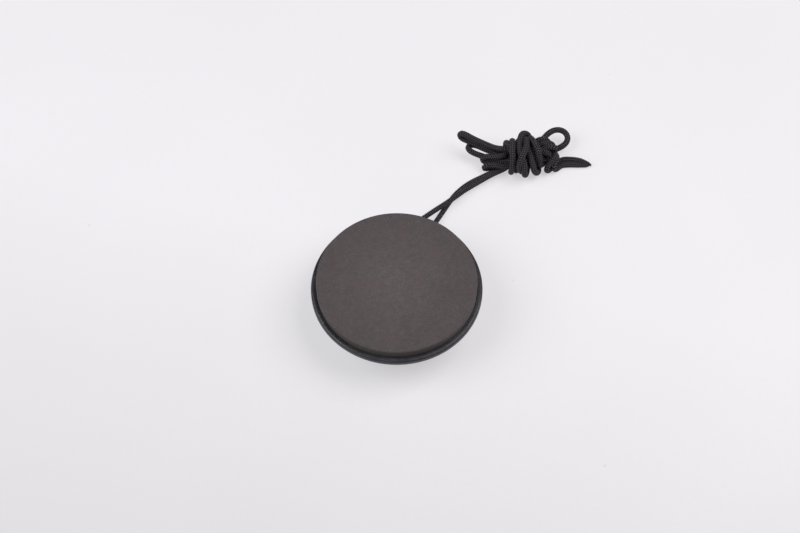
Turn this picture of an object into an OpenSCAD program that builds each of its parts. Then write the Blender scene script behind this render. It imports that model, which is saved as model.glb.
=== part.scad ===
// Security tag detacher: a round magnetic puck with a foam foot pad and a tether cord.
// It lies with its working face down and its foot pad up, as it is put away.
// Millimetres. The origin is the centre of the working face, +Z points to the foot pad,
// and the tether cord leaves towards +Y.

/* [Case] */
// Widest diameter of the case, at its rim
case_d = 80; // [70:1:100]
// Height of the rim above the working face
case_h = 20.5; // [20:0.5:24]
// Diameter of the flat working face
face_d = 52; // [50:1:58]
// Thickness of the moulded wall
wall_t = 2.4; // [2:0.1:3]
// Radius of the flank's slight outward curve
flank_r = 120; // [80:5:200]
// Height of the upright band at the rim
rim_band = 2.5; // [2:0.1:4]
// Radius of the rounded rim edge
rim_round = 1.2; // [0.6:0.1:1.4]
// Width of the rim around the pad's recess
rim_w = 2.3; // [1.5:0.1:3]
// Width of the ledge that carries the cover
ledge_w = 3.2; // [3:0.1:4]
// Depth of the recess, from the rim to the ledge
recess_depth = 3.2; // [3:0.1:4]

/* [Foot pad] */
// Thickness of the foam foot pad
pad_t = 6; // [3:0.5:8]
// Gap between the pad and the rim
pad_gap = 0.2; // [0.1:0.1:1]
// Thickness of the adhesive disc under the pad
adhesive_t = 0.5; // [0.2:0.1:1]
// Radius of the pad's worn edge
pad_edge = 0.6; // [0.3:0.1:1]
// Thickness of the cover
cover_t = 1.8; // [1.6:0.1:2.2]

/* [Tag nest] */
// Bore of the nest that a tag's dome goes into
nest_d = 19.5; // [18:0.1:20]
// Height of the nest's ceiling above the working face
nest_h = 7; // [6:0.5:7]
// Thickness of the nest cup's wall
cup_t = 0.8; // [0.6:0.1:1]
// Diameter of the nest cup's flange
flange_d = 27; // [25:0.5:30]
// Diameter of the lead-in at the working face
lead_in_d = 26; // [24:0.5:28]
// Depth of the lead-in
lead_in_h = 1.2; // [0.8:0.1:1.5]

/* [Magnets] */
// Thickness of each ring magnet
ring_t = 4; // [3:0.5:4]
// Outer diameter of the ring magnets
ring_d = 41.2; // [38:0.2:41.2]
// Hole in the ring magnets
ring_hole_d = 22.6; // [22.6:0.1:24]
// Thickness of the spacer between the ring magnets
spacer_t = 0.5; // [0.3:0.1:0.5]
// Diameter of the pole piece and the core magnet
core_d = 17; // [14:0.5:18]
// Thickness of the pole piece
pole_t = 0.8; // [0.5:0.1:1]
// Outer diameter of the steel yoke
yoke_d = 48; // [46:0.5:48]
// Thickness of the yoke's back
yoke_back = 2.5; // [2:0.1:2.5]
// Thickness of the yoke's wall
yoke_wall = 2.8; // [2:0.1:2.8]
// Thickness of the retaining ring
retainer_t = 0.8; // [0.6:0.1:1]

/* [Screws] */
// Distance of the cover screws from the centre
cover_screw_at = 30.5; // [30:0.1:31]
// Diameter of the cover screw bosses
cover_boss_d = 6.4; // [6:0.1:6.6]
// Distance of the retaining screws from the centre
retain_screw_at = 29.75; // [29.75:0.05:30]
// Diameter of the retaining screw bosses
retain_boss_d = 5.5; // [5:0.1:5.5]

/* [Cord] */
// Diameter of the braided cord
cord_d = 2.5; // [2:0.1:3]
// Height of the cord where it leaves the case
exit_z = 10; // [9.5:0.1:10.5]
// Distance from the centre to the mouths of the cord eyelets
exit_y = 37; // [36.5:0.1:37]
// Diameter of the eyelet's flange
eyelet_d = 5.8; // [5:0.1:6]
// Radius of the turns that tie the hank
wrap_r = 9; // [8:0.5:10]
// Radius of the end knot
knot_r = 7.5; // [6:0.5:8]

/* [Hidden] */
$fn = 96;
eps = 0.05;

// Case: radii, heights and the arc of its flank
case_r = case_d / 2;
face_r = face_d / 2;
band_z = case_h - rim_band;
chord = norm([case_r - face_r, band_z]);
chord_turn = atan2(band_z, case_r - face_r);
flank_half = asin(chord / 2 / flank_r);
flank_steps = 12;
recess_r = case_r - rim_w;
cavity_r = recess_r - ledge_w;
ledge_z = case_h - recess_depth;
floor_z = wall_t;

// Cover, adhesive and foot pad, stacked on the ledge
cover_clear = 0.2;
cover_top = ledge_z + cover_t;
pad_z = cover_top + adhesive_t;
pad_r = recess_r - pad_gap;
adhesive_r = pad_r - 1;
gasket_w = 1;
gasket_t = 0.6;
gasket_r = cavity_r + 1.1;

// Nest and magnets, stacked on the case floor
nest_r = nest_d / 2;
cup_r = nest_r + cup_t;
cup_clear = 0.15;
flange_top = floor_z + cup_t;
cup_top = nest_h + cup_t;
ring_r = ring_d / 2;
spacer_z = flange_top + ring_t;
upper_z = spacer_z + spacer_t;
yoke_under = upper_z + ring_t;
yoke_top = yoke_under + yoke_back;
yoke_r = yoke_d / 2;
yoke_bore = yoke_r - yoke_wall;
core_r = core_d / 2;
core_z = cup_top + pole_t;
sleeve_clear = 0.1;
collar_clear = 0.05;

// Retaining ring and its screws, as many as there are cover screws
screw_n = 3;
retainer_r = yoke_r + 0.5;
retainer_bore = yoke_r - 5;
ear_r = 3.2;
ear_hole_r = 1.2;
pilot_r = 1.05;
washer_r = 2.6;
washer_t = 0.4;
pan_head_r = 2.2;
pan_head_h = 0.9;
screw_r = 1;
retain_screw_end = 10.5;
pilot_end = 9.5;
cushion_r = retainer_bore - 0.5;

// Cover screws and their brass inserts
insert_r = 2;
insert_bore = 1.25;
insert_len = 4.8;
insert_pocket = 6;
cover_screw_r = 1.2;
cover_screw_len = 7;
cover_hole_r = 1.4;
head_r = 2.4;
head_h = 1.2;
socket_r = 0.8;
socket_depth = 0.7;

// Cord: the two legs pass either side of the rear retaining boss
cord_r = cord_d / 2;
leg_x = retain_boss_d / 2 + cord_r;
eyelet_r = 2;
eyelet_bore = 1.45;
eyelet_flange_t = 0.6;
eyelet_len = 2.4;
eyelet_pocket_r = eyelet_d / 2 + 0.1;
port_r = eyelet_pocket_r + 0.9;
port_bevel = 0.6;
port_y = 28;
leg_hole_r = cord_r + 0.04;
left_route = [
    [-4, 37, 10], [-3.9, 39.5, 9.2], [-3.4, 42, 7.8], [-2.4, 44.5, 6.5], [-1, 47.5, 5.5],
    [0.9, 50.5, 4.9], [3.2, 54, 4.4], [5.6, 57.4, 4.1], [8.1, 60.8, 3.8], [10.7, 64.4, 3.7],
    [12.9, 67.8, 3.4], [14.9, 71, 3], [17.2, 73.9, 2.9], [19.7, 76.8, 2.9], [22.7, 80.2, 3],
    [25.2, 83, 3.1], [27.8, 85.8, 3.2]
];
right_route = [
    [4, 37, 10], [4, 39.5, 8.9], [4.2, 42, 6.8], [4.7, 45, 4.7], [5.4, 48, 3.1],
    [6.2, 51, 2.1], [7, 54.5, 1.5], [7.9, 58, 1.3], [9, 62, 1.3], [10.2, 66, 1.3],
    [11.6, 69.6, 1.3], [13.3, 72.8, 1.3], [15.2, 75.7, 1.3], [17.5, 78.5, 1.3], [20, 81, 1.3],
    [23, 84, 1.3], [25.6, 86.6, 1.3], [27.8, 89, 1.3]
];
hank_turn = 18;
wrap_at = [38.5, 95.5];
wrap_len = 17;
folds_z = 4;
folds_t = 8;
fold_r = 4;
fold_tips = [[9.5, 98], [24.5, 90.5]];
knot_at = [50, 101];
loop_at = [52.4, 110.8];
loop_r = 5.5;
loop_z = 4.5;
loop_start = -60;
loop_angle = 270;
tail_at = [52, 99.2];
tail_turn = 15;
tail_len = 20;
tail_taper = 8;
tip_w = 1;

// Places the children at each cover screw
module at_cover_screws() {
    for (i = [0 : screw_n - 1])
        rotate(30 + i * 360 / screw_n) translate([cover_screw_at, 0, 0]) children();
}

// Places the children at each retaining screw, the first one between the cord's legs
module at_retaining_screws() {
    for (i = [0 : screw_n - 1])
        rotate(90 + i * 360 / screw_n) translate([retain_screw_at, 0, 0]) children();
}

// A flat ring standing on z = 0
module ring(outer, inner, height) {
    difference() {
        cylinder(r = outer, h = height);
        translate([0, 0, -eps]) cylinder(r = inner, h = height + 2 * eps);
    }
}

// Point of the flank's arc, from the face (0) to the band (1), set back by a wall thickness
function flank_point(at, inset) =
    let (middle = [(case_r + face_r) / 2, band_z / 2])
    let (centre = middle + flank_r * cos(flank_half) * [-sin(chord_turn), cos(chord_turn)])
    let (turn = chord_turn - 90 + (2 * at - 1) * flank_half)
    centre + (flank_r - inset) * [cos(turn), sin(turn)];

// Half section of the body inside a flank that is set back by a wall thickness
module flank_section(inset) {
    arc = [for (i = [-2 : flank_steps + 2]) flank_point(i / flank_steps, inset)];
    polygon(concat([[0, arc[0][1]]], arc, [[0, arc[len(arc) - 1][1]]]));
}

// Half section of the closed case: bowl flank, upright band and rounded rim
module case_section() {
    intersection() {
        flank_section(0);
        square([case_r, band_z]);
    }
    translate([0, band_z]) square([case_r, rim_band - rim_round]);
    translate([0, band_z]) square([case_r - rim_round, rim_band]);
    translate([case_r - rim_round, case_h - rim_round]) circle(r = rim_round);
}

// Half section of the space inside the case, below the ledge
module cavity_section() {
    intersection() {
        flank_section(wall_t);
        translate([0, floor_z]) square([cavity_r, ledge_z - floor_z]);
    }
}

// Flat-faced port on the rear flank that the two legs of the cord come out of
module cord_port() {
    hull() for (side = [-1, 1]) translate([side * leg_x, 0, exit_z]) rotate([-90, 0, 0]) {
        translate([0, 0, port_y]) cylinder(r = port_r, h = exit_y - 0.2 - port_bevel - port_y);
        translate([0, 0, port_y]) cylinder(r = port_r - port_bevel, h = exit_y - 0.2 - port_y);
    }
}

module case_shell() color("#202124") {
    difference() {
        union() {
            rotate_extrude() case_section();
            cord_port();
        }
        difference() {
            rotate_extrude() cavity_section();
            at_cover_screws() cylinder(r = cover_boss_d / 2, h = case_h);
            at_retaining_screws() cylinder(r = retain_boss_d / 2, h = yoke_top);
        }
        translate([0, 0, ledge_z]) cylinder(r = recess_r, h = case_h);
        translate([0, 0, ledge_z - gasket_t])
            ring(gasket_r + gasket_w, gasket_r, case_h);
        translate([0, 0, -eps]) cylinder(r = cup_r + cup_clear, h = case_h);
        translate([0, 0, -eps])
            cylinder(r1 = lead_in_d / 2 + eps, r2 = cup_r + cup_clear, h = lead_in_h + eps);
        at_cover_screws() translate([0, 0, ledge_z - insert_pocket])
            cylinder(r = insert_r, h = case_h);
        at_retaining_screws() translate([0, 0, pilot_end])
            cylinder(r = pilot_r, h = case_h);
        for (side = [-1, 1]) translate([side * leg_x, 0, exit_z]) rotate([-90, 0, 0]) {
            translate([0, 0, port_y]) cylinder(r = leg_hole_r, h = case_r);
            translate([0, 0, exit_y - 0.2 - eyelet_len]) cylinder(r = eyelet_r, h = case_r);
            translate([0, 0, exit_y - eyelet_flange_t - 0.2])
                cylinder(r = eyelet_pocket_r, h = case_r);
        }
    }
}

module base_cover() color("#26272a") {
    difference() {
        translate([0, 0, ledge_z]) cylinder(r = recess_r - cover_clear, h = cover_t);
        at_cover_screws() translate([0, 0, ledge_z - eps])
            cylinder(r = cover_hole_r, h = case_h);
        at_cover_screws() translate([0, 0, cover_top - head_h])
            cylinder(r1 = cover_hole_r, r2 = head_r + 0.1, h = head_h + eps);
    }
}

module cover_gasket() color("#303030") {
    translate([0, 0, ledge_z - gasket_t]) ring(gasket_r + gasket_w, gasket_r, gasket_t);
}

module cover_inserts() color("#c9a24a") {
    at_cover_screws() translate([0, 0, ledge_z - insert_len - 0.1])
        ring(insert_r, insert_bore, insert_len);
}

module cover_screws() color("#3a3a3c") {
    at_cover_screws() difference() {
        union() {
            translate([0, 0, cover_top - cover_screw_len])
                cylinder(r = cover_screw_r, h = cover_screw_len - head_h + eps);
            translate([0, 0, cover_top - head_h])
                cylinder(r1 = cover_screw_r, r2 = head_r, h = head_h);
        }
        translate([0, 0, cover_top - socket_depth])
            cylinder(r = socket_r, h = head_h, $fn = 6);
    }
}

module nest_cup() color("#c4c6c9") {
    difference() {
        union() {
            translate([0, 0, lead_in_h]) cylinder(r = cup_r, h = cup_top - lead_in_h);
            translate([0, 0, floor_z]) cylinder(r = flange_d / 2, h = cup_t);
        }
        cylinder(r = nest_r, h = nest_h);
    }
}

module pole_piece() color("#8d9095") {
    translate([0, 0, cup_top]) cylinder(r = core_r, h = pole_t);
}

module core_magnet() color("#b9bcc1") {
    translate([0, 0, core_z]) cylinder(r = core_r, h = yoke_under - core_z);
}

module core_sleeve() color("#c9a24a") {
    translate([0, 0, cup_top])
        ring(ring_hole_d / 2 - sleeve_clear, core_r + sleeve_clear, yoke_under - cup_top);
}

module ring_magnet() {
    ring(ring_r, ring_hole_d / 2, ring_t);
}

module lower_ring_magnet() color("#a9acb1") {
    translate([0, 0, flange_top]) ring_magnet();
}

module magnet_spacer() color("#d8d8d2") {
    translate([0, 0, spacer_z]) ring(ring_r, ring_hole_d / 2, spacer_t);
}

module upper_ring_magnet() color("#a9acb1") {
    translate([0, 0, upper_z]) ring_magnet();
}

module magnet_collar() color("#e4e2da") {
    translate([0, 0, flange_top])
        ring(yoke_bore - collar_clear, ring_r + collar_clear, yoke_under - flange_top);
}

module steel_yoke() color("#6f7377") {
    difference() {
        translate([0, 0, floor_z]) cylinder(r = yoke_r, h = yoke_top - floor_z);
        cylinder(r = yoke_bore, h = yoke_under);
    }
}

module retaining_ring() color("#9a9da1") {
    translate([0, 0, yoke_top]) linear_extrude(retainer_t) difference() {
        union() {
            circle(r = retainer_r);
            at_retaining_screws() circle(r = ear_r);
            for (i = [0 : screw_n - 1])
                rotate(90 + i * 360 / screw_n) translate([retainer_bore, -ear_r])
                    square([retain_screw_at - retainer_bore, 2 * ear_r]);
        }
        circle(r = retainer_bore);
        at_retaining_screws() circle(r = ear_hole_r);
    }
}

module retaining_washers() color("#c4c6c9") {
    at_retaining_screws() translate([0, 0, yoke_top + retainer_t])
        ring(washer_r, ear_hole_r, washer_t);
}

module retaining_screws() color("#3a3a3c") {
    head_z = yoke_top + retainer_t + washer_t;
    at_retaining_screws() difference() {
        union() {
            translate([0, 0, retain_screw_end])
                cylinder(r = screw_r, h = head_z - retain_screw_end + eps);
            translate([0, 0, head_z]) cylinder(r = pan_head_r, h = pan_head_h);
        }
        translate([0, 0, head_z + pan_head_h - socket_depth])
            cylinder(r = socket_r, h = head_z, $fn = 6);
    }
}

module cushion_disc() color("#57585a") {
    translate([0, 0, yoke_top]) cylinder(r = cushion_r, h = ledge_z - yoke_top);
}

module pad_adhesive() color("#d9d6c8") {
    translate([0, 0, cover_top]) cylinder(r = adhesive_r, h = adhesive_t);
}

module foot_pad() color("#5f595a") {
    translate([0, 0, pad_z]) rotate_extrude() {
        square([pad_r, pad_t - pad_edge]);
        square([pad_r - pad_edge, pad_t]);
        translate([pad_r - pad_edge, pad_t - pad_edge]) circle(r = pad_edge);
    }
}

// One eyelet around the +Z axis, with its flange's outer face at z = 0
module eyelet() {
    difference() {
        union() {
            translate([0, 0, -eyelet_flange_t]) cylinder(d = eyelet_d, h = eyelet_flange_t);
            translate([0, 0, -eyelet_len]) cylinder(r = eyelet_r - 0.02, h = eyelet_len);
        }
        translate([0, 0, -eyelet_len - eps])
            cylinder(r = eyelet_bore, h = eyelet_len + 2 * eps);
    }
}

module cord_eyelets() color("#1a1a1c") {
    for (side = [-1, 1])
        translate([side * leg_x, exit_y - 0.2, exit_z]) rotate([-90, 0, 0]) eyelet();
}

module cord_bight() color("#1b1b1d") {
    translate([0, retain_screw_at, exit_z]) rotate(180)
        rotate_extrude(angle = 180) translate([leg_x, 0]) circle(r = cord_r);
    for (side = [-1, 1])
        translate([side * leg_x, retain_screw_at, exit_z]) rotate([-90, 0, 0])
            cylinder(r = cord_r, h = exit_y - retain_screw_at);
}

// Direction of a route at point i
function unit(v) = v / norm(v);
function heading(route, i) =
    unit(route[min(i + 1, len(route) - 1)] - route[max(i - 1, 0)]);

// Ring of points around point i of a route, square to the route
function route_ring(route, i, sides) =
    let (along = heading(route, i), side = unit(cross(along, [0, 0, 1])))
    let (up = cross(side, along))
    [for (k = [0 : sides - 1])
        route[i] + cord_r * (cos(360 * k / sides) * side + sin(360 * k / sides) * up)];

// A closed tube of the cord's diameter along a route
module cord_tube(route, sides = 8) {
    n = len(route);
    rings = [for (i = [0 : n - 1]) each route_ring(route, i, sides)];
    walls = [for (i = [0 : n - 2], k = [0 : sides - 1])
        let (a = i * sides + k, b = i * sides + (k + 1) % sides)
        [a, b, b + sides, a + sides]];
    start_cap = [for (k = [sides - 1 : -1 : 0]) k];
    end_cap = [for (k = [0 : sides - 1]) (n - 1) * sides + k];
    polyhedron(points = rings, faces = concat(walls, [start_cap], [end_cap]));
}

module cord_left() color("#1b1b1d") cord_tube(left_route);

module cord_right() color("#1b1b1d") cord_tube(right_route);

// Outer shape of the tied hank: fanned folds, the turns around them and the end knot
module cord_hank() color("#1b1b1d") {
    translate([0, 0, folds_z]) linear_extrude(folds_t) {
        for (tip = fold_tips) translate(tip) circle(r = fold_r);
        polygon([
            fold_tips[0] + [0.5, fold_r], fold_tips[0] - [1, fold_r],
            fold_tips[1] - [1.5, fold_r], wrap_at - [0, fold_r], wrap_at + [-2, fold_r]
        ]);
    }
    translate([wrap_at[0], wrap_at[1], wrap_r]) rotate(hank_turn) rotate([0, 90, 0])
        cylinder(r = wrap_r, h = wrap_len, center = true);
    translate([knot_at[0], knot_at[1], knot_r]) sphere(r = knot_r);
}

module cord_loop() color("#1b1b1d") {
    translate([loop_at[0], loop_at[1], loop_z]) rotate(loop_start)
        rotate_extrude(angle = loop_angle) translate([loop_r, 0]) circle(r = cord_r);
}

// The two legs lie side by side and are fused to a point
module cord_tail() color("#1b1b1d") {
    translate([tail_at[0], tail_at[1], eps]) rotate(tail_turn) linear_extrude(cord_d) polygon([
        [0, -cord_d], [tail_len - tail_taper, -cord_d], [tail_len, -tip_w / 2],
        [tail_len, tip_w / 2], [tail_len - tail_taper, cord_d], [0, cord_d]
    ]);
}

case_shell();
base_cover();
cover_gasket();
cover_inserts();
cover_screws();
nest_cup();
pole_piece();
core_magnet();
core_sleeve();
lower_ring_magnet();
magnet_spacer();
upper_ring_magnet();
magnet_collar();
steel_yoke();
retaining_ring();
retaining_washers();
retaining_screws();
cushion_disc();
pad_adhesive();
foot_pad();
cord_eyelets();
cord_bight();
cord_left();
cord_right();
cord_hank();
cord_loop();
cord_tail();
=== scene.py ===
"""A magnetic security tag detacher, working face down, with its doubled tether cord tied in a hank."""

import functools
import math

import bpy
import numpy as np
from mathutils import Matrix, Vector


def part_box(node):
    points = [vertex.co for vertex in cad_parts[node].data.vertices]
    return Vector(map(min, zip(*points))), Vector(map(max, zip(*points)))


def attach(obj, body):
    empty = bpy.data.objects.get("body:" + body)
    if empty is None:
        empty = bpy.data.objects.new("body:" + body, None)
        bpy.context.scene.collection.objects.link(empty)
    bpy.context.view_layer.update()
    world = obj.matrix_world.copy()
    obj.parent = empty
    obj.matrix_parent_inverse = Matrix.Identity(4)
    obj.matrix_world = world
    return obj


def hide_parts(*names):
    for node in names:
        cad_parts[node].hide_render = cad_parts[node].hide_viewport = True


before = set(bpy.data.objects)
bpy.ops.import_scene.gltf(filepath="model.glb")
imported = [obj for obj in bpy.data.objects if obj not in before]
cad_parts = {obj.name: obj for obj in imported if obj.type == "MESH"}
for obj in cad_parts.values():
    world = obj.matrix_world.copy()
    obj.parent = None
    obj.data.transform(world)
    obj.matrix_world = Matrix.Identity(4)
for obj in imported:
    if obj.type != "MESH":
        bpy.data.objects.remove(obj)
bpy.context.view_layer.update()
scene = bpy.context.scene

MM = 0.001

# ---------------------------------------------------------------- camera

CAMERA_AZIMUTH = math.radians(15)
CAMERA_ELEVATION = math.radians(58.9)
CAMERA_AT = (0.1169, -0.4304, 0.7778)
CAMERA_LENS = 85
SENSOR_WIDTH = 36


def make_camera():
    data = bpy.data.cameras.new("camera")
    data.lens = CAMERA_LENS
    data.sensor_width = SENSOR_WIDTH
    data.clip_start = 0.05
    camera = bpy.data.objects.new("camera", data)
    scene.collection.objects.link(camera)
    level = math.cos(CAMERA_ELEVATION)
    sideways = math.sin(CAMERA_AZIMUTH) * level
    forwards = math.cos(CAMERA_AZIMUTH) * level
    back = Vector((sideways, -forwards, math.sin(CAMERA_ELEVATION)))
    camera.location = CAMERA_AT
    camera.rotation_mode = "QUATERNION"
    camera.rotation_quaternion = (-back).to_track_quat("-Z", "Y")
    scene.camera = camera


make_camera()

# ---------------------------------------------------------------- cords: the routes, in millimetres

CORD_D = 2.5
BIGHT_R = 4
BIGHT_Y = 29.75
EXIT_Y = 37
EXIT_Z = 10

LEFT_ROUTE = [
    (-4, 37, 10), (-3.9, 39.5, 9.2), (-3.4, 42, 7.8), (-2.4, 44.5, 6.5), (-1, 47.5, 5.5),
    (0.9, 50.5, 4.9), (3.2, 54, 4.4), (5.6, 57.4, 4.1), (8.1, 60.8, 3.8), (10.7, 64.4, 3.7),
    (12.9, 67.8, 3.4), (14.9, 71, 3), (17.2, 73.9, 2.9), (19.7, 76.8, 2.9), (22.7, 80.2, 3),
    (25.2, 83, 3.1), (27.8, 85.8, 3.2),
]
RIGHT_ROUTE = [
    (4, 37, 10), (4, 39.5, 8.9), (4.2, 42, 6.8), (4.7, 45, 4.7), (5.4, 48, 3.1),
    (6.2, 51, 2.1), (7, 54.5, 1.5), (7.9, 58, 1.3), (9, 62, 1.3), (10.2, 66, 1.3),
    (11.6, 69.6, 1.3), (13.3, 72.8, 1.3), (15.2, 75.7, 1.3), (17.5, 78.5, 1.3), (20, 81, 1.3),
    (23, 84, 1.3), (25.6, 86.6, 1.3), (27.8, 89, 1.3),
]

# The hank has a frame of its own: u along it, v across it, z up.
HANK_AT = (38, 95.5)
HANK_TURN = math.radians(15)
LEFT_RUNS = [
    # in under the bundle and round its right end
    (-8.5, -3.7, 3.2), (-5.8, -2.6, 3.2), (-2, -2, 3.9), (4, -1.4, 4.4), (9, -1, 4.8), (12.4, 0, 5.2),
    (14.2, 0.8, 5.8), (14.8, 1.4, 7), (14, 1.8, 8.2), (12, 2.2, 9), (8, 2, 10.4), (3, 1.8, 11.4),
    # the longest fold
    (-3, 1.4, 9.9), (-8, 1.6, 8.8), (-13, 2.9, 9.6), (-18, 4.6, 10.9), (-23.4, 7, 11.8),
    (-28.4, 9.3, 12.3), (-30.4, 10.6, 12.5), (-31.3, 10.8, 11.3), (-30.3, 10.1, 10.2),
    (-27.6, 8.3, 9.7), (-22, 5.9, 9.3), (-17.4, 3.8, 8.6), (-13.8, 2, 7.7), (-8, 0.6, 6.9),
    # round the right end again
    (-3, 1.1, 8), (3, 1.8, 9), (8, 2.6, 9.6), (13, 3, 9.6), (16.8, 3.2, 9.4), (18.2, 3.1, 8.2),
    (17.2, 3, 7), (13, 2.2, 6.4), (8, 0.2, 6.7), (3, -1, 6.9), (-3, -1.2, 6.4),
    # the short upper fold, then out at the back
    (-7.8, -1.2, 5.5), (-12.7, -1.2, 5), (-17, -1.5, 4.8), (-19.6, -1.6, 5), (-20.5, -0.8, 6),
    (-19, -0.4, 6.8), (-15, -0.5, 7), (-11, -0.4, 7.4), (-7.6, 0.4, 7.4), (-5.8, 2.4, 6.8),
    (-5.2, 4.6, 6),
]
RIGHT_RUNS = [
    # in under the bundle and round its right end
    (-9.6, -2.9, 1.6), (-6.5, -1.2, 2.4), (-2, 0.4, 3.6), (4, 1.4, 4.2), (9, 2, 4.6), (13, 3.8, 5.2),
    (15.8, 5.6, 6), (16.8, 6.6, 7.4), (15.8, 6.8, 8.8), (12.4, 6, 9.4), (8, 5.2, 9.2), (3, 4.8, 8.8),
    # the open fold under the longest one
    (-3, 4.2, 8.2), (-8, 2.2, 6), (-11, 2.4, 5.8), (-13.7, 3.2, 5.8), (-17.8, 5.2, 6),
    (-22, 6.8, 6.5), (-25.4, 7.2, 7), (-27.2, 6.2, 7), (-26.8, 5, 6.8), (-25, 4, 6.5),
    (-22.4, 2.9, 6), (-19.6, 1.7, 5), (-16.6, 0.8, 4), (-12, 1, 3.6), (-7, 1.4, 4.6), (-2, 1.8, 6),
    (3, 2.2, 6.6), (8, 5, 7),
    # the long loop that stands out of the right end
    (10.8, 8.6, 8), (13, 12.2, 8), (15.4, 15.1, 7.5), (19.3, 16.6, 7), (22.6, 15.7, 6),
    (24.2, 12.6, 5), (23, 9.2, 4.5), (20, 7.3, 4.5), (17.8, 6.4, 4), (15, 5, 2.8), (11.5, 2.8, 2.2),
    (8, 0.2, 3), (4, -2.8, 4.4), (-1, -4.1, 5.3),
    # the lowest fold, then under the bundle to the back
    (-6, -3.2, 4.6), (-11.5, -2.7, 4.4), (-16, -3.2, 4.4), (-18.4, -3.5, 4.4), (-19.2, -3.7, 3.2),
    (-17.8, -3.8, 2), (-14, -3.2, 2), (-11, -2.6, 2), (-8.4, -0.8, 1.5), (-7.6, 1.4, 1.3),
    (-7.4, 4, 2),
]

# Each point of a wrapping turn has the angle round the bundle (0 at the back, 90 on top), how far
# along the bundle it is, and how far out of the turns' oval.
TURN_CENTRE = (-0.7, 8.6)
TURN_HALF = (8.2, 7.1)
TURN_STEP = 15
OUT_LIFTS = 0.5
OUT_GROWS_UP = 0.8
LEFT_TURNS = [
    (-20, -5.4, -1.6), (0, -5.2, -1.2), (30, -5.1, -0.2), (90, -5, -0.4), (120, -4.9, -0.6),
    (153, -4.6, 0), (211, -3.7, 0.2), (270, -3, 0), (330, 0.4, 0), (360, 2, 0), (395, 2.9, 0),
    (433, 2.7, 0.4), (458, 1.9, 1), (478, 0.5, 1.8), (498, -0.8, 1.4), (518, -1.4, 0.6),
    (542, -1.5, 0), (571, -1.2, 0), (630, 0.8, 0), (700, 3.2, -0.6), (750, 4.2, -2), (800, 5.2, -3),
    (840, 6, -3), (880, 6.6, -2.8), (930, 6.6, -3.4), (990, 6.2, -2.8), (1050, 4.8, -0.4),
    (1090, 3.2, 0), (1110, 3.4, 0), (1146, 5.4, 0.2), (1165, 7.1, 0.6), (1184, 8.2, 0.2),
    (1203, 8.4, -1.4), (1220, 8, -3.6), (1250, 8, -5), (1290, 8.8, -5),
]
RIGHT_TURNS = [
    (-40, -6.9, -3.3), (0, -6.6, -4), (30, -6.3, -4.2), (60, -6, -4), (90, -5.6, -3),
    (120, -4, -2.6), (150, -2.8, -2), (180, -2.4, -1.2), (211, -2.2, -0.4), (270, -1.6, 0),
    (310, 2.4, 0.2), (340, 6, 0.8), (354, 6.2, 0.5), (367, 5.1, 0.2), (390, 1.5, 0),
    (410, -0.8, -0.5), (429, -2.2, -0.6), (459, -2, -0.4), (476, -1.5, 0), (496, 0, 0),
    (514, 1.3, 1), (535, 1, 2), (557, 0.4, 2.2), (590, 0.2, 1.5),
    (630, 1.1, 0.6), (700, 2.6, 0.4), (760, 3, -1.4), (800, 3, -2), (825, 3.4, -2), (850, 4.4, -1.4),
    (876, 5.2, -0.4), (908, 6, 0.4), (931, 6.2, 1.2), (990, 6.2, 0.6), (1030, 6, 0.2),
    (1070, 5.8, -0.6), (1095, 6.8, -0.8),
]
LEFT_KNOT = [
    (10.6, 1, 2.4), (12.4, 3.4, 2.8), (14.4, 4.4, 3.6), (16.4, 3.4, 4.6), (17.2, 1.6, 5.8),
    (16.4, -0.6, 6.8), (14.2, -3, 6.4), (12.4, -4.7, 4.8), (12.2, -5.8, 3), (13.6, -5.8, 1.6),
    (15.6, -4, 1.4), (16.4, -0.6, 2.4), (17.8, 1, 2.4), (20.6, 1.6, 2), (24.2, 1.9, 1.6),
    (27.5, 1.6, 1.5), (30.4, 0.8, 1.5), (32.8, -0.4, 1.4), (35, -1.5, 1.3),
]
RIGHT_KNOT = [
    (8.8, 7, 10.6), (10.6, 7.6, 10.4), (12.4, 7.9, 9.6), (13.8, 8.3, 7.8), (13.8, 8.8, 5.4),
    (14.8, 7.4, 3), (16.8, 4, 1.8), (18.2, 1.2, 2.4), (18.2, -0.8, 4.2), (16.8, -2.2, 4.8),
    (15.2, -3.8, 4), (15.4, -4.8, 2.6), (16.4, -4, 1.4), (18.1, -2.1, 1.3), (21.2, -1.2, 1.3),
    (24.2, -1, 1.3), (27, -1, 1.3), (29.8, -1.2, 1.3), (32.4, -1.4, 1.3), (34, -1.5, 1.3),
]


def from_hank(points):
    """Points from the hank's frame, in the row frame."""
    u, v, z = np.array(points, float).T
    c, s = math.cos(HANK_TURN), math.sin(HANK_TURN)
    return np.stack([HANK_AT[0] + u * c - v * s, HANK_AT[1] + u * s + v * c, z], 1)


def turns(table):
    """Points of the wrapping turns, one each TURN_STEP degrees, in the hank's frame."""
    angle, along, outwards = np.array(table, float).T
    at = np.arange(angle[0], angle[-1] + 1, TURN_STEP)
    out = np.interp(at, angle, outwards)
    v = TURN_CENTRE[0] + (TURN_HALF[0] + out) * np.cos(np.radians(at))
    middle = TURN_CENTRE[1] + OUT_LIFTS * out
    z = middle + (TURN_HALF[1] + OUT_GROWS_UP * out) * np.sin(np.radians(at))
    return np.stack([np.interp(at, angle, along), v, z], 1)


def inside_case(side):
    """The cord's first points, from the middle of the bight inside the case to its hole."""
    arc = np.radians(np.arange(90, 0, -22.5))
    bend = [(side * BIGHT_R * math.cos(a), BIGHT_Y - BIGHT_R * math.sin(a), EXIT_Z) for a in arc]
    return [*bend, (side * BIGHT_R, BIGHT_Y, EXIT_Z), (side * BIGHT_R, (BIGHT_Y + EXIT_Y) / 2, EXIT_Z)]


# ---------------------------------------------------------------- cords: settling

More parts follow.
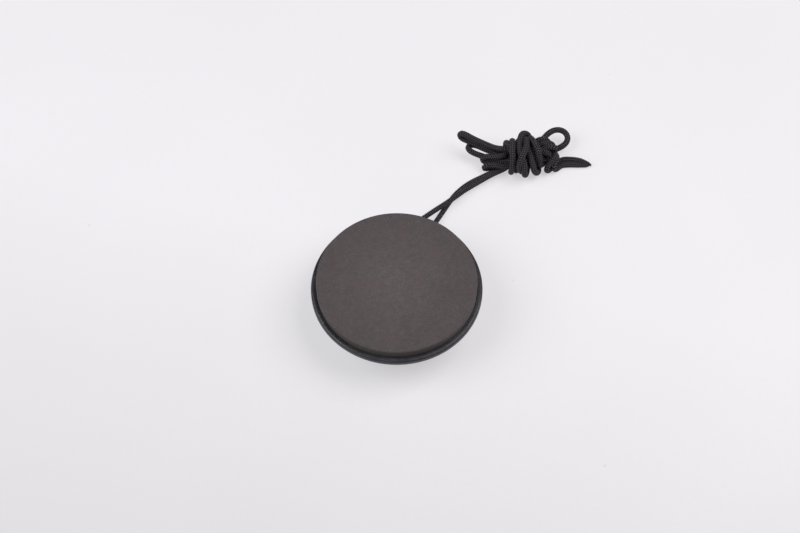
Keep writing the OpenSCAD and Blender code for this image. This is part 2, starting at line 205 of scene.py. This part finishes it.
LINE_STEP = 1.25
CURVE_POINTS = 12
SETTLED_GAP = CORD_D + 0.1
FREE_BEFORE_HANK = 8
TAIL_HELD = 12

# Each round pulls the cords towards their routes, less and less, smooths them, pushes them apart
# and holds their length. Pairs of parts that are nearby are looked for again every few rounds.
SETTLE_ROUNDS = 260
PULL_HOME = 0.05
PULL_LASTS = 0.85
SMOOTHING = 0.04
STIFFNESS = 0.3
NEARBY = 1.6
LOOK_AGAIN = 5
CROWDED = 0.6
STRETCH_FIX = 0.25
SQUEEZE_FIX = 0.12


def evened(line, step):
    """The same line with points an even step apart."""
    along = np.concatenate([[0], np.cumsum(np.linalg.norm(np.diff(line, axis=0), axis=1))])
    at = np.linspace(0, along[-1], max(2, round(along[-1] / step) + 1))
    return np.stack([np.interp(at, along, line[:, k]) for k in range(3)], 1)


def between(a, b, ta, tb, t):
    return ((tb - t) * a + (t - ta) * b) / (tb - ta)


def curved(points, step):
    """A centripetal Catmull-Rom curve through the points, with points an even step apart."""
    p = np.array(points, float)
    p = np.vstack([2 * p[0] - p[1], p, 2 * p[-1] - p[-2]])
    out = []
    for a, b, c, d in zip(p, p[1:], p[2:], p[3:]):
        knots = [math.sqrt(np.linalg.norm(y - x)) for x, y in ((a, b), (b, c), (c, d))]
        ta, tb, tc, td = np.cumsum([0, *knots])
        t = np.linspace(tb, tc, CURVE_POINTS, endpoint=False)[:, None]
        ab, bc, cd = between(a, b, ta, tb, t), between(b, c, tb, tc, t), between(c, d, tc, td, t)
        out.append(between(between(ab, bc, ta, tc, t), between(bc, cd, tb, td, t), tb, tc, t))
    return evened(np.vstack([*out, p[-2:-1]]), step)


def close_pairs(p, strand, reach, skip):
    """Each point, with each stretch between two points near it that isn't its own part of the cord."""
    middle = 0.5 * (p[:-1] + p[1:])
    apart = ((p[:, None] - middle[None]) ** 2).sum(2)
    i, j = np.where((apart < reach**2) & (strand[:-1] == strand[1:])[None])
    other = (strand[i] != strand[j]) | (np.abs(i - j - 0.5) > skip)
    return i[other], j[other]


def push_apart(p, i, j, thick):
    """Moves the points i and the stretches after the points j, in place, until they are thick apart."""
    along = p[j + 1] - p[j]
    t = np.clip(((p[i] - p[j]) * along).sum(1) / ((along * along).sum(1) + 1e-12), 0, 1)[:, None]
    gap = p[i] - p[j] - t * along
    far = np.linalg.norm(gap, axis=1)[:, None] + 1e-9
    push = 0.5 * np.clip(thick - far, 0, None) * gap / far
    hit = (far[:, 0] < thick).astype(float)
    shift = np.zeros_like(p)
    hits = np.zeros(len(p))
    moves = (
        (i, push, 1),
        (j, -push * (1 - t), 1 - t[:, 0]),
        (j + 1, -push * t, t[:, 0]),
    )
    for at, move, share in moves:
        np.add.at(shift, at, move)
        np.add.at(hits, at, hit * share)
    p += shift / np.maximum(1, CROWDED * hits)[:, None]


def hold_length(p, rest, joined):
    """Pulls neighbouring points, in place, back to their distance at rest."""
    link = p[1:] - p[:-1]
    long = np.linalg.norm(link, axis=1) + 1e-9
    share = np.where(long > rest, STRETCH_FIX, SQUEEZE_FIX) * joined
    fix = (share * (long - rest) / long)[:, None] * link
    p[:-1] += fix
    p[1:] -= fix


def settle(lines, held, thick):
    """Lets the cords push each other thick apart, lie on the table and smooth out, near their routes.

    The first held points of each line and its last TAIL_HELD points stay where they are.
    """
    counts = [len(line) for line in lines]
    home = np.vstack(lines)
    strand = np.repeat(np.arange(len(lines)), counts)
    joined = strand[:-1] == strand[1:]
    rest = np.linalg.norm(np.diff(home, axis=0), axis=1)
    starts = np.cumsum([0, *counts[:-1]])
    heads = [np.arange(s, s + h) for s, h in zip(starts, held)]
    tails = [np.arange(s + n - TAIL_HELD, s + n) for s, n in zip(starts, counts)]
    fixed = np.concatenate([*heads, *tails])
    inner = np.where(joined[:-1] & joined[1:])[0] + 1
    deep = inner[np.isin(inner - 1, inner) & np.isin(inner + 1, inner)]
    skip = thick * 1.15 / np.median(rest) + 1
    p = home.copy()
    for turn in range(SETTLE_ROUNDS):
        if turn % LOOK_AGAIN == 0:
            i, j = close_pairs(p, strand, thick + NEARBY, skip)
        ease = max(0.0, 1 - turn / (PULL_LASTS * SETTLE_ROUNDS))
        p = p + PULL_HOME * ease * (home - p)
        lean = np.zeros_like(p)
        lean[inner] = 0.5 * (p[inner - 1] + p[inner + 1]) - p[inner]
        p += SMOOTHING * lean
        p[deep] -= STIFFNESS * (0.5 * (lean[deep - 1] + lean[deep + 1]) - lean[deep])
        for _ in range(2):
            push_apart(p, i, j, thick)
            hold_length(p, rest, joined)
            p[:, 2] = np.maximum(p[:, 2], thick / 2)
            p[fixed] = home[fixed]
    return np.split(p, starts[1:])


def cord_lines():
    """The two cords' centrelines, in millimetres."""
    lines, held = [], []
    for side, route, runs, wraps, knot in (
        (-1, LEFT_ROUTE, LEFT_RUNS, LEFT_TURNS, LEFT_KNOT),
        (1, RIGHT_ROUTE, RIGHT_RUNS, RIGHT_TURNS, RIGHT_KNOT),
    ):
        free = [*inside_case(side), *route]
        hank = from_hank([*runs, *turns(wraps), *knot])
        lines.append(curved(np.vstack([free, hank]), LINE_STEP))
        held.append(len(curved(free, LINE_STEP)) - FREE_BEFORE_HANK)
    lines = settle(lines, held, SETTLED_GAP)
    return lines


# ---------------------------------------------------------------- cords: the braid

BRAID_COLUMNS = 8
BRAID_PITCH = 1.0
BRAID_LEAN = 0.8
RINGS_PER_PITCH = 5
POINTS_PER_COLUMN = 4
POINTS_ROUND = BRAID_COLUMNS * POINTS_PER_COLUMN
BRAID_DEPTH = 0.16

# A strand is cut flat by parts of its own cord only where they are further than this along it.
OWN_LENGTH = 4.5
FLAT_GAP = 0.02


def smoothed(line, rounds):
    line = line.copy()
    for _ in range(rounds):
        line[1:-1] += 0.25 * (line[:-2] + line[2:] - 2 * line[1:-1])
    return line


def across(line):
    """Two directions across the line at each point, which turn as little as they can along it."""
    ahead = np.gradient(line, axis=0)
    ahead /= np.linalg.norm(ahead, axis=1)[:, None]
    side = np.empty_like(ahead)
    side[0] = np.cross(ahead[0], (0, 0, 1))
    for k in range(1, len(line)):
        side[k] = side[k - 1] - ahead[k] * side[k - 1].dot(ahead[k])
        side[k] /= np.linalg.norm(side[k])
    return side, np.cross(ahead, side)


def new_piece(name, points, faces, material, uv=None):
    """A smooth mesh piece, with points in millimetres and a uv pair for each corner of each face."""
    mesh = bpy.data.meshes.new(name)
    mesh.from_pydata((np.asarray(points) * MM).tolist(), [], faces)
    if uv is not None:
        layer = mesh.uv_layers.new(name="weave")
        layer.data.foreach_set("uv", np.asarray(uv, np.float32).ravel())
    mesh.polygons.foreach_set("use_smooth", np.ones(len(mesh.polygons), bool))
    mesh.materials.append(material)
    mesh.update()
    piece = bpy.data.objects.new(name, mesh)
    scene.collection.objects.link(piece)
    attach(piece, "root")
    return piece


def braid_relief(around, along):
    """Height of the braid, 0 to 1: columns of slanting strands that lean one way and then the other."""
    column = np.floor(around)
    offset = around - column - 0.5
    lean = np.where(column % 2 == 0, 1.0, -1.0)
    wave = 0.5 + 0.5 * np.cos(2 * math.pi * (along + lean * offset * BRAID_LEAN))
    return wave**0.8 * np.sqrt(1 - (1.7 * offset) ** 2)


def pressed(ring, centre, nearby, reach):
    """The ring's points, cut back to the flats where the strand meets its neighbours."""
    to = nearby - centre
    far = np.linalg.norm(to, axis=1)
    to /= far[:, None]
    for _ in range(2):
        deep = (ring - centre) @ to.T - 0.5 * far + reach
        worst = deep.argmax(1)
        past = np.clip(deep[np.arange(len(ring)), worst], 0, None)
        ring = ring - past[:, None] * to[worst]
    return ring


def flattened(points, rings, at, size, which, lines):
    """The rings of points, cut flat wherever another strand, or the same one further on, presses."""
    coarse = [evened(line, 0.5) for line in lines]
    owner = np.repeat(np.arange(len(lines)), [len(line) for line in coarse])
    place = np.concatenate([np.linspace(0, at[-1], len(line)) for line in coarse])
    coarse = np.vstack(coarse)
    for k, centre in enumerate(rings):
        close = np.linalg.norm(coarse - centre, axis=1) < 2.2 * size[k]
        close &= (owner != which) | (np.abs(place - at[k]) > OWN_LENGTH)
        if close.any():
            points[k] = pressed(points[k], centre, coarse[close], FLAT_GAP)
    return points


def tube_faces(count):
    """Four-sided faces between count rings, and a face at each end."""
    index = np.arange(count * POINTS_ROUND).reshape(-1, POINTS_ROUND)
    right = np.roll(index, -1, axis=1)
    quads = np.stack([index[:-1], right[:-1], right[1:], index[1:]], -1).reshape(-1, 4)
    return [*quads.tolist(), index[0][::-1].tolist(), index[-1].tolist()]


def weave_uv(count, column):
    """Where each corner of each face is in the braid: in columns around it and in pitches along it."""
    low, high = np.meshgrid(np.arange(count - 1) / RINGS_PER_PITCH, column, indexing="ij")
    wide, tall = 1 / POINTS_PER_COLUMN, 1 / RINGS_PER_PITCH
    corners = [(high, low), (high + wide, low), (high + wide, low + tall), (high, low + tall)]
    sides = np.stack([np.stack(corner, -1) for corner in corners], 2).reshape(-1, 2)
    return np.vstack([sides, np.zeros((2 * POINTS_ROUND, 2))])


def braided(name, which, lines, thick):
    """A braided tube along one of the lines. thick gives the radius at each distance along it."""
    step = BRAID_PITCH / RINGS_PER_PITCH
    rings = evened(smoothed(evened(lines[which], 0.6), 3), step)
    at = np.arange(len(rings)) * step
    size = thick(at, at[-1])
    column = np.arange(POINTS_ROUND) / POINTS_PER_COLUMN
    angle = column / BRAID_COLUMNS * 2 * math.pi
    side, up = across(rings)
    sideways = side[:, None] * np.cos(angle)[None, :, None]
    out = sideways + up[:, None] * np.sin(angle)[None, :, None]
    relief = braid_relief(column[None], at[:, None] / BRAID_PITCH)
    height = size[:, None] * (1 - BRAID_DEPTH / CORD_D * 2 * (1 - relief))
    points = rings[:, None] + out * height[..., None]
    points = flattened(points, rings, at, size, which, lines)
    points[..., 2] = np.maximum(points[..., 2], FLAT_GAP)
    faces = tube_faces(len(rings))
    uv = weave_uv(len(rings), column)
    return new_piece(name, points.reshape(-1, 3), faces, cord_material(), uv), rings


PULLED_RADIUS = 1.27
PLUMPER_LEG = 0.05
PLUMPER_HANK = 0.22
THINNER_TAIL = 0.5
LEG_AT = 32
HANK_BEGINS = 85
TAIL_THINS_OVER = 6
POINT_LENGTH = 2.6


def cord_radius(at, end):
    """Radius along a cord: plump in the hank, slimmer in the tail and drawn to a point at its end."""
    leg = 0.5 + 0.5 * np.tanh((at - LEG_AT) / 4)
    hank = 0.5 + 0.5 * np.tanh((at - HANK_BEGINS) / 8)
    tail = np.clip((at - (end - TAIL_THINS_OVER)) / TAIL_THINS_OVER, 0, 1)
    point = np.clip((end - at) / POINT_LENGTH, 0, 1)
    radius = PULLED_RADIUS + PLUMPER_LEG * leg + PLUMPER_HANK * hank - THINNER_TAIL * tail
    return radius * (0.1 + 0.9 * np.sqrt(point * (2 - point)))


# ---------------------------------------------------------------- materials


class Look:
    """A material's node tree, with short calls to add and join nodes."""

    def __init__(self, name):
        self.material = bpy.data.materials.new(name)
        self.material.use_nodes = True
        self.nodes = self.material.node_tree.nodes
        self.links = self.material.node_tree.links
        self.shader = self.nodes["Principled BSDF"]
        self.place = self.nodes.new("ShaderNodeTexCoord").outputs["Object"]

    def add(self, kind, settings=None, **inputs):
        node = self.nodes.new(f"ShaderNode{kind}")
        for key, value in (settings or {}).items():
            setattr(node, key, value)
        for key, value in inputs.items():
            self.put(node.inputs[key.replace("_", " ")], value)
        return node

    def put(self, socket, value):
        if isinstance(value, bpy.types.NodeSocket):
            self.links.new(value, socket)
        else:
            socket.default_value = value

    def noise(self, size, detail=3.0, rough=0.5, place=None):
        """Noise with features of about size millimetres."""
        node = self.add("TexNoise", Scale=1 / (size * MM), Detail=detail, Roughness=rough)
        self.put(node.inputs["Vector"], place or self.place)
        return node.outputs["Fac"]

    def cells(self, size, feature="F1", place=None):
        node = self.add("TexVoronoi", {"feature": feature}, Scale=1 / (size * MM))
        self.put(node.inputs["Vector"], place or self.place)
        return node.outputs["Distance"]

    def stretched(self, scale, turn=(0, 0, 0)):
        node = self.add("Mapping", Scale=scale, Rotation=turn)
        self.put(node.inputs["Vector"], self.place)
        return node.outputs["Vector"]

    def levels(self, value, low, high, to_low=0.0, to_high=1.0):
        node = self.add("MapRange", {"clamp": True})
        node.inputs["From Min"].default_value = low
        node.inputs["From Max"].default_value = high
        node.inputs["To Min"].default_value = to_low
        node.inputs["To Max"].default_value = to_high
        self.put(node.inputs["Value"], value)
        return node.outputs["Result"]

    def maths(self, operation, a, b):
        node = self.add("Math", {"operation": operation})
        self.put(node.inputs[0], a)
        self.put(node.inputs[1], b)
        return node.outputs["Value"]

    def mix(self, amount, a, b):
        node = self.add("Mix", {"data_type": "RGBA"})
        self.put(node.inputs["Factor"], amount)
        for key, value in (("A", a), ("B", b)):
            socket = [s for s in node.inputs if s.name == key and s.type == "RGBA"][0]
            self.put(socket, value if isinstance(value, bpy.types.NodeSocket) else (*value, 1))
        return [s for s in node.outputs if s.type == "RGBA"][0]

    def bump(self, height, depth, strength=1.0, after=None):
        """A bump depth millimetres deep."""
        node = self.add("Bump", Strength=strength, Distance=depth * MM, Height=height)
        if after is not None:
            self.put(node.inputs["Normal"], after)
        return node.outputs["Normal"]

    def finish(self, **inputs):
        for key, value in inputs.items():
            socket = self.shader.inputs[key.replace("_", " ")]
            if isinstance(value, tuple) and len(value) == 3:
                value = (*value, 1)
            self.put(socket, value)
        return self.material


YARNS_PER_STRAND = 5


@functools.cache
def cord_material():
    """Black braided nylon: fine yarns along each strand of the braid, with painted shade in the grooves
    between and painted highlights on the strand crowns.
    """
    look = Look("braided_nylon")
    weave = look.add("UVMap", {"uv_map": "weave"}).outputs["UV"]
    split = look.add("SeparateXYZ", Vector=weave)
    around, along = split.outputs["X"], split.outputs["Y"]
    column = look.maths("FRACT", around, 0)
    offset = look.maths("SUBTRACT", column, 0.5)
    half = look.maths("FRACT", look.maths("MULTIPLY", around, 0.5), 0)
    parity = look.maths("GREATER_THAN", half, 0.5)
    sign = look.maths("SUBTRACT", look.maths("MULTIPLY", parity, -2), -1)
    lean = look.maths("MULTIPLY", sign, BRAID_LEAN)
    slant = look.maths("ADD", along, look.maths("MULTIPLY", offset, lean))
    yarn = look.maths("SINE", look.maths("MULTIPLY", slant, 2 * math.pi * YARNS_PER_STRAND), 0)
    wave = look.maths("COSINE", look.maths("MULTIPLY", slant, 2 * math.pi), 0)
    crown = look.levels(wave, -1, 1)
    uneven = look.noise(0.5, 2)
    patches = look.noise(14, 2)
    edge = look.maths("ABSOLUTE", offset, 0)
    # This mask is the braid's relief for the bump. In the colour below it paints highlights on the
    # strand crowns and shade in the grooves between them.
    crown_relief_and_painted_highlight = look.maths("MULTIPLY", look.levels(crown, 0.42, 0.92), look.levels(edge, 0.48, 0.28))
    # Painted light: the colour runs from near black in the grooves (painted shade) to light grey on the
    # crowns (painted highlight).
    colour = look.mix(crown_relief_and_painted_highlight, (0.0100, 0.0090, 0.0105), (0.135, 0.125, 0.140))
    colour = look.mix(look.levels(patches, 0.4, 0.7, 0, 0.2), colour, (0.030, 0.027, 0.028))
    rough = look.levels(uneven, 0.3, 0.7, 0.42, 0.66)
    normal = look.bump(crown_relief_and_painted_highlight, 0.12, 0.8)
    normal = look.bump(yarn, 0.02, 0.4, normal)
    normal = look.bump(look.noise(0.12, 3), 0.02, 0.4, normal)
    return look.finish(
        Base_Color=colour, Roughness=rough, Normal=normal,
        Specular_IOR_Level=look.levels(crown_relief_and_painted_highlight, 0, 1, 0.02, 0.32),
    )


TOP_OF_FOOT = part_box("foot_pad")[1][2]


def foot_foam():
    """Dark closed-cell foam: fine pitted grain, faint brown mottling and a few specks of dust, with
    painted shade in the pits and on the side wall.
    """
    look = Look("foot_foam")
    pits = look.cells(0.42, "SMOOTH_F1")
    grain = look.noise(0.3, 5, 0.65)
    mottle = look.noise(2.2, 4, 0.6)
    broad = look.noise(16, 3)
    colour = look.mix(look.levels(mottle, 0.32, 0.68), (0.074, 0.063, 0.066), (0.120, 0.101, 0.103))
    colour = look.mix(look.levels(grain, 0.3, 0.72, 0, 0.55), colour, (0.205, 0.182, 0.186))
    # Painted shade: the colour is darker in the pits of the grain.
    colour = look.mix(look.levels(pits, 0.1, 0.5, 0.55, 0), colour, (0.040, 0.034, 0.035))
    colour = look.mix(look.levels(broad, 0.35, 0.65, 0, 0.25), colour, (0.108, 0.086, 0.084))
    colour = look.mix(look.levels(look.noise(9, 2), 0.52, 0.68, 0, 0.4), colour, (0.120, 0.084, 0.084))
    spot = look.add("SeparateXYZ", Vector=look.place)
    x_squared = look.maths("POWER", spot.outputs["X"], 2)
    y_squared = look.maths("POWER", spot.outputs["Y"], 2)
    out = look.maths("SQRT", look.maths("ADD", x_squared, y_squared), 0)
    uneven = look.maths("MULTIPLY", look.maths("SUBTRACT", broad, 0.5), 1.2)
    middle = look.maths("ADD", look.levels(out, 0.002, 0.034, 1, 0), uneven)
    colour = look.mix(look.levels(middle, 0, 1, 0.34, 0), colour, (0.042, 0.034, 0.036))
    # Painted shade: the side wall below the rounded edge is painted dark brown, for the shade it has
    # down in the ring's recess.
    wall = look.levels(spot.outputs["Z"], TOP_OF_FOOT - 0.0011, TOP_OF_FOOT - 0.0005, 0.7, 0)
    colour = look.mix(wall, colour, (0.021, 0.012, 0.009))
    specks = look.levels(look.cells(3.4), 0.028, 0.04, 0.8, 0)
    colour = look.mix(specks, colour, (0.5, 0.48, 0.46))
    normal = look.bump(pits, 0.08, 0.5)
    normal = look.bump(grain, 0.07, 0.6, normal)
    normal = look.bump(broad, 0.25, 0.4, normal)
    return look.finish(
        Base_Color=colour, Roughness=look.levels(grain, 0.3, 0.7, 0.78, 0.95), Normal=normal,
        Specular_IOR_Level=0.25, Sheen_Weight=0.12, Sheen_Roughness=0.6,
    )


def scuffs(look, size=1.6, turn=0.6):
    """Thin straight scratches, 0 to 1, in two directions."""
    marks = None
    for angle, stretch in ((turn, 14), (turn + 1.9, 9)):
        place = look.stretched((stretch, 1, 1), (0, 0, angle))
        thin = look.noise(size, 2, 0.4, place)
        off = look.maths("ABSOLUTE", look.maths("SUBTRACT", thin, 0.5), 0)
        line = look.levels(off, 0.0, 0.012, 1, 0)
        line = look.maths("MULTIPLY", line, look.levels(look.noise(6, 3), 0.5, 0.6))
        marks = line if marks is None else look.maths("MAXIMUM", marks, line)
    return marks


def moulded(name, colour, worn, rough, fine=0.35, turn=0.6):
    """Moulded plastic: spark-eroded grain, soft smears, scratches and paler worn edges."""
    look = Look(name)
    grain = look.noise(fine, 3, 0.6)
    smear = look.noise(11, 3, 0.6, look.stretched((1, 1, 0.5)))
    marks = scuffs(look, turn=turn)
    edge = look.levels(look.add("NewGeometry").outputs["Pointiness"], 0.52, 0.58)
    edge = look.maths("MULTIPLY", edge, look.levels(look.noise(1.4, 4, 0.7), 0.42, 0.62))
    wear = look.maths("MAXIMUM", look.maths("MULTIPLY", marks, 0.85), edge)
    darker = tuple(0.85 * c for c in colour)
    lighter = tuple(1.2 * c for c in colour)
    base = look.mix(look.levels(smear, 0.3, 0.7), darker, lighter)
    normal = look.bump(grain, 0.02, 0.5)
    normal = look.bump(marks, -0.03, 0.5, normal)
    smooth = look.levels(smear, 0.3, 0.7, rough - 0.07, rough + 0.09)
    roughness = look.maths("ADD", smooth, look.maths("MULTIPLY", wear, 0.2))
    return look.finish(
        Base_Color=look.mix(wear, base, worn), Roughness=roughness, Normal=normal,
        Specular_IOR_Level=0.5,
    )


def metal(name, colour, rough, brushed=(1, 1, 14), dull=0.75, size=0.9):
    """Metal with fine drawn lines, dull patches and small bright nicks."""
    look = Look(name)
    lines = look.noise(size, 4, 0.7, look.stretched(brushed))
    patches = look.noise(7, 3)
    nicks = look.levels(look.cells(2.6), 0.05, 0.09, 1, 0)
    base = look.mix(look.levels(patches, 0.35, 0.7), colour, tuple(dull * c for c in colour))
    base = look.mix(look.levels(lines, 0.35, 0.65, 0, 0.3), base, tuple(0.8 * c for c in colour))
    rough = look.levels(lines, 0.3, 0.7, rough - 0.06, rough + 0.12)
    normal = look.bump(lines, 0.015, 0.5)
    normal = look.bump(nicks, -0.03, 0.5, normal)
    return look.finish(Base_Color=base, Roughness=rough, Normal=normal, Metallic=1.0)


def soft(name, colour, light, size, rough=0.9, depth=0.1):
    """Foam, rubber or tape: an open grain of two tones, with painted shade in its holes."""
    look = Look(name)
    grain = look.noise(size, 4, 0.65)
    holes = look.cells(size * 1.6, "SMOOTH_F1")
    base = look.mix(look.levels(grain, 0.3, 0.7), colour, light)
    # Painted shade: the colour is darker in the holes.
    base = look.mix(look.levels(holes, 0.1, 0.5, 0.6, 0), base, tuple(0.5 * c for c in colour))
    normal = look.bump(holes, depth, 0.6)
    normal = look.bump(grain, depth * 0.6, 0.6, normal)
    rough = look.levels(grain, 0.3, 0.7, rough - 0.08, rough)
    return look.finish(Base_Color=base, Roughness=rough, Normal=normal)


def frame_looks():
    """Each CAD node that stays in the visual model, with its material and its slot."""
    black = moulded("case_black", (0.027, 0.027, 0.034), (0.13, 0.13, 0.14), 0.40)
    dull = moulded("cover_black", (0.030, 0.030, 0.032), (0.09, 0.09, 0.09), 0.55, 0.5, 1.1)
    glossy = moulded("eyelet_black", (0.016, 0.016, 0.018), (0.06, 0.06, 0.06), 0.28, 0.25)
    natural = moulded("spacer_natural", (0.66, 0.64, 0.58), (0.74, 0.73, 0.70), 0.5, 0.4)
    rubber = soft("gasket_rubber", (0.035, 0.035, 0.036), (0.06, 0.06, 0.06), 0.5, 0.7, 0.04)
    grey = soft("cushion_foam", (0.09, 0.09, 0.095), (0.16, 0.16, 0.165), 0.9, 0.95, 0.25)
    tape = soft("adhesive_film", (0.52, 0.5, 0.42), (0.66, 0.64, 0.56), 0.4, 0.5, 0.03)
    brass = metal("brass", (0.72, 0.50, 0.22), 0.3, (1, 1, 6))
    oxide = metal("screw_black", (0.055, 0.055, 0.06), 0.42, (3, 3, 3))
    cup = metal("nest_steel", (0.62, 0.625, 0.64), 0.26, (1, 1, 12))
    iron = metal("soft_iron", (0.42, 0.43, 0.45), 0.38, (6, 1, 1), 0.7)
    nickel = metal("nickel_plate", (0.60, 0.59, 0.57), 0.16, (2, 2, 2), 0.9)
    zinc = metal("zinc_plate", (0.55, 0.56, 0.58), 0.34, (1, 5, 1), 0.75, 1.6)
    return {
        "case_shell": (black, "case_plastic"),
        "base_cover": (dull, "cover_plastic"),
        "cover_gasket": (rubber, "gasket_rubber"),
        "cover_inserts": (brass, "brass_insert"),
        "cover_screws": (oxide, "black_screw"),
        "nest_cup": (cup, "nest_steel"),
        "pole_piece": (iron, "soft_iron"),
        "core_magnet": (nickel, "nickel_magnet"),
        "core_sleeve": (brass, "brass_sleeve"),
        "lower_ring_magnet": (nickel, "nickel_magnet"),
        "magnet_spacer": (natural, "spacer_plastic"),
        "upper_ring_magnet": (nickel, "nickel_magnet"),
        "magnet_collar": (natural, "spacer_plastic"),
        "steel_yoke": (iron, "soft_iron"),
        "retaining_ring": (zinc, "plate_steel"),
        "retaining_washers": (zinc, "plate_steel"),
        "retaining_screws": (oxide, "black_screw"),
        "cushion_disc": (grey, "grey_foam"),
        "pad_adhesive": (tape, "adhesive_tape"),
        "cord_eyelets": (glossy, "eyelet_plastic"),
    }


def dress_frame():
    for node, (material, slot) in frame_looks().items():
        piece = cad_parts[node]
        piece.data.materials.clear()
        piece.data.materials.append(material)


# ---------------------------------------------------------------- making the cords


def make_cords():
    lines = cord_lines()
    left, left_rings = braided("tether_left", 0, lines, cord_radius)
    right, right_rings = braided("tether_right", 1, lines, cord_radius)
    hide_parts("cord_left", "cord_bight", "cord_hank", "cord_tail")
    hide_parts("cord_right", "cord_loop")


make_cords()

# ---------------------------------------------------------------- the foam foot


FOOT_EDGE = 0.45
FOOT_STEPS = 300
FOOT_ROWS = 45
FOOT_WAVES = 14
FOOT_SWELL = 0.09
FOOT_SINKS = 0.06
SIDE_DRAWS_IN = 0.10


def foot_profile(radius, base, top):
    """Radius and height down the disc: its face, rounded edge, wall and underside."""
    flat = np.linspace(0, 1, FOOT_ROWS + 1)[1:] ** 0.85 * (radius - FOOT_EDGE - 0.05)
    bend = np.radians(np.linspace(90, 0, 7))
    edge = radius - FOOT_EDGE
    return [
        *[(r, top) for r in flat],
        *[(edge + FOOT_EDGE * math.cos(a), top - FOOT_EDGE + FOOT_EDGE * math.sin(a)) for a in bend],
        *[(radius, z) for z in np.linspace(top - FOOT_EDGE - 0.4, base + 0.4, 11)],
        (radius - 0.3, base),
        (radius * 0.5, base),
    ]


def foot_faces(rows):
    """Faces between the rings of the profile, and triangles to the two middle points."""
    faces = []
    for k in range(rows - 1):
        for m in range(FOOT_STEPS):
            n = (m + 1) % FOOT_STEPS
            upper, lower = k * FOOT_STEPS, (k + 1) * FOOT_STEPS
            faces.append((upper + m, lower + m, lower + n, upper + n))
    last = (rows - 1) * FOOT_STEPS
    face_middle = rows * FOOT_STEPS
    for m in range(FOOT_STEPS):
        n = (m + 1) % FOOT_STEPS
        faces.append((face_middle, m, n))
        faces.append((face_middle + 1, last + n, last + m))
    return faces


def make_foot():
    """The foam disc: a rounded edge, a slightly waisted wall and a faintly uneven face."""
    low, high = (np.array(corner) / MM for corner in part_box("foot_pad"))
    radius, base, top = (high[0] - low[0]) / 2, low[2], high[2]
    profile = foot_profile(radius, base, top)
    turn = np.linspace(0, 2 * math.pi, FOOT_STEPS, endpoint=False)
    rng = np.random.default_rng(7)
    full = 2 * math.pi
    waves = [
        (rng.uniform(0.06, 0.28), rng.uniform(0, full), rng.uniform(0, full))
        for _ in range(FOOT_WAVES)
    ]
    points = []
    for r, z in profile:
        x, y = r * np.cos(turn), r * np.sin(turn)
        waving = [np.sin(k * (x * math.cos(d) + y * math.sin(d)) + s) for k, d, s in waves]
        swell = sum(waving) / len(waves)
        side = np.clip((top - FOOT_EDGE - z) / 1.5, 0, 1) * np.clip((z - base) / 1.0, 0, 1)
        out = 1 - side * (SIDE_DRAWS_IN + 0.06 * swell) / radius
        lift = np.where(z > top - 1, FOOT_SWELL * swell - FOOT_SINKS, 0)
        points.append(np.stack([x * out, y * out, z + lift], 1))
    points = np.vstack([*points, [(0, 0, top - FOOT_SINKS)], [(0, 0, base)]])
    foot = new_piece("foam_foot", points, foot_faces(len(profile)), foot_foam())
    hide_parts("foot_pad")


make_foot()
dress_frame()

# ---------------------------------------------------------------- table and light

TABLE_SIZE = 6
TABLE_GLOW = 0.53
SOFTBOX_DISTANCE = 1.2
SOFTBOX_SIZE = 0.9
WORLD_STRENGTH = 0.1


def table_look():
    """An opal sheet lit softly from below, a little less towards its front edge."""
    look = Look("table")
    fine = look.noise(3, 4)
    broad = look.noise(120, 2)
    specks = look.levels(look.cells(26), 0.018, 0.028, 0.35, 0)
    colour = look.mix(look.levels(broad, 0.3, 0.7), (0.385, 0.38, 0.39), (0.405, 0.40, 0.41))
    colour = look.mix(look.levels(fine, 0.4, 0.7, 0, 0.3), colour, (0.38, 0.37, 0.385))
    colour = look.mix(specks, colour, (0.2, 0.2, 0.205))
    front = look.add("SeparateXYZ", Vector=look.place).outputs["Y"]
    dimmer = look.levels(front, -0.25, 0.03, 0.62, 1)
    glow = look.maths("MULTIPLY", dimmer, look.levels(specks, 0, 1, 1, 0.8))
    return look.finish(
        Base_Color=colour, Roughness=0.55, Specular_IOR_Level=0.3,
        Emission_Color=(1.0, 0.985, 1.02), Emission_Strength=look.maths("MULTIPLY", glow, TABLE_GLOW),
    )


def make_table():
    mesh = bpy.data.meshes.new("table")
    h = TABLE_SIZE / 2
    mesh.from_pydata([(-h, -h, 0), (h, -h, 0), (h, h, 0), (-h, h, 0)], [], [(0, 1, 2, 3)])
    mesh.materials.append(table_look())
    table = bpy.data.objects.new("table", mesh)
    scene.collection.objects.link(table)


def softbox(name, azimuth, elevation, watts, colour):
    """A square area light aimed at the object. Azimuth is anticlockwise from +X."""
    data = bpy.data.lights.new(name, "AREA")
    data.shape = "SQUARE"
    data.size = SOFTBOX_SIZE
    data.energy = watts
    data.color = colour
    light = bpy.data.objects.new(name, data)
    scene.collection.objects.link(light)
    a, e = math.radians(azimuth), math.radians(elevation)
    way = Vector((math.cos(a) * math.cos(e), math.sin(a) * math.cos(e), math.sin(e)))
    light.location = way * SOFTBOX_DISTANCE
    light.rotation_mode = "QUATERNION"
    light.rotation_quaternion = way.to_track_quat("Z", "Y")


def make_light():
    softbox("softbox_right", 25, 56, 8.7, (1.0, 0.985, 0.98))
    softbox("softbox_left", 205, 46, 8.4, (0.985, 0.985, 1.0))
    world = bpy.data.worlds.new("studio")
    world.use_nodes = True
    background = world.node_tree.nodes["Background"]
    background.inputs["Color"].default_value = (0.985, 0.98, 1, 1)
    background.inputs["Strength"].default_value = WORLD_STRENGTH
    scene.world = world
    scene.view_settings.view_transform = "Standard"


make_table()
make_light()
